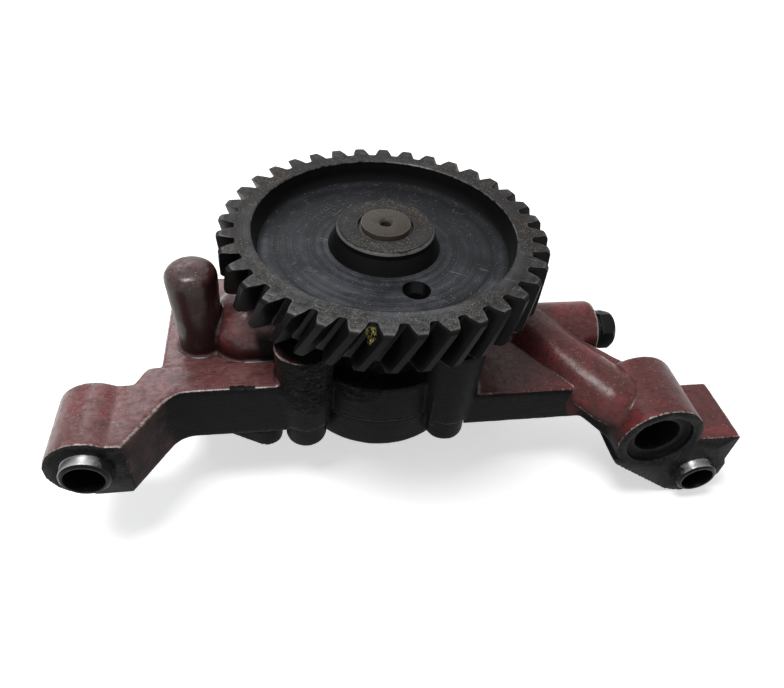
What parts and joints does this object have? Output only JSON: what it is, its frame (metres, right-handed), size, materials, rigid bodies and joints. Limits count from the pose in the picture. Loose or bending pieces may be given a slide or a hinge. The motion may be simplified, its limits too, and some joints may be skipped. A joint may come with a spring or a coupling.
{
  "type": "engine oil pump",
  "caption": "Gear oil pump in a cast body with two mounting arms, driven by a large helical gear, with a screwed-in relief valve and a flanged outlet.",
  "frame": {"origin": "left mounting bolt's axis where it crosses the mounting face", "axes": "+Z along the drive gear's axis towards the gear, -Y out of the mounting face towards the engine, +X along the arms towards the outlet"},
  "size_m": [0.3176, 0.1798, 0.1205],
  "materials": {
    "body_casting": "dark oxide red primer over a sand casting, worn at the edges",
    "cover_casting": "oily near-black cast iron",
    "gasket": "pressed fibre sheet",
    "screw_steel": "black oxide",
    "ground_steel": "ground bright",
    "bush_bronze": "bored bearing bronze",
    "shaft_steel": "turned, slightly browned",
    "gear_steel": "black oxide with fine machining marks",
    "spring_steel": "drawn wire",
    "plug_seal": "annealed copper",
    "plug_steel": "black oxide"
  },
  "bodies": {
    "root": {"pump_body": "body_casting", "cover_gasket": "gasket", "pump_cover": "cover_casting", "cover_washers": "screw_steel", "cover_bolts": "screw_steel", "cover_dowel_pins": "ground_steel", "left_mounting_sleeve": "ground_steel", "right_mounting_sleeve": "ground_steel", "upper_shaft_bush": "bush_bronze", "lower_shaft_bush": "bush_bronze", "thrust_washer": "bush_bronze", "idler_shaft": "shaft_steel", "relief_spring": "spring_steel", "relief_shim": "ground_steel", "relief_plug_washer": "plug_seal", "relief_plug": "plug_steel"},
    "drive": {"drive_gear": "gear_steel", "drive_shaft": "shaft_steel", "pump_driving_gear": "gear_steel", "pump_gear_key": "shaft_steel"},
    "idler": {"pump_idler_gear": "gear_steel", "idler_bush": "bush_bronze"},
    "piston": {"relief_piston": "ground_steel"}
  },
  "joints": [
    {"name": "drive_spin", "type": "hinge", "parent": "root", "child": "drive", "pos_m": [0.128, 0.075, 0.055], "axis": [0, 0, 1], "continuous": true},
    {"name": "idler_spin", "type": "hinge", "parent": "root", "child": "idler", "pos_m": [0.128, 0.129, 0.005], "axis": [0, 0, 1], "continuous": true},
    {"name": "relief_lift", "type": "slide", "parent": "root", "child": "piston", "axis": [1, 0, 0], "range_m": [0, 0.005], "stiffness_N_per_m": 2000, "springref_m": -0.01, "deforming": ["relief_spring"]}
  ],
  "couplings": [
    {"joint": "idler_spin", "follows": "drive_spin", "ratio": -1}
  ]
}
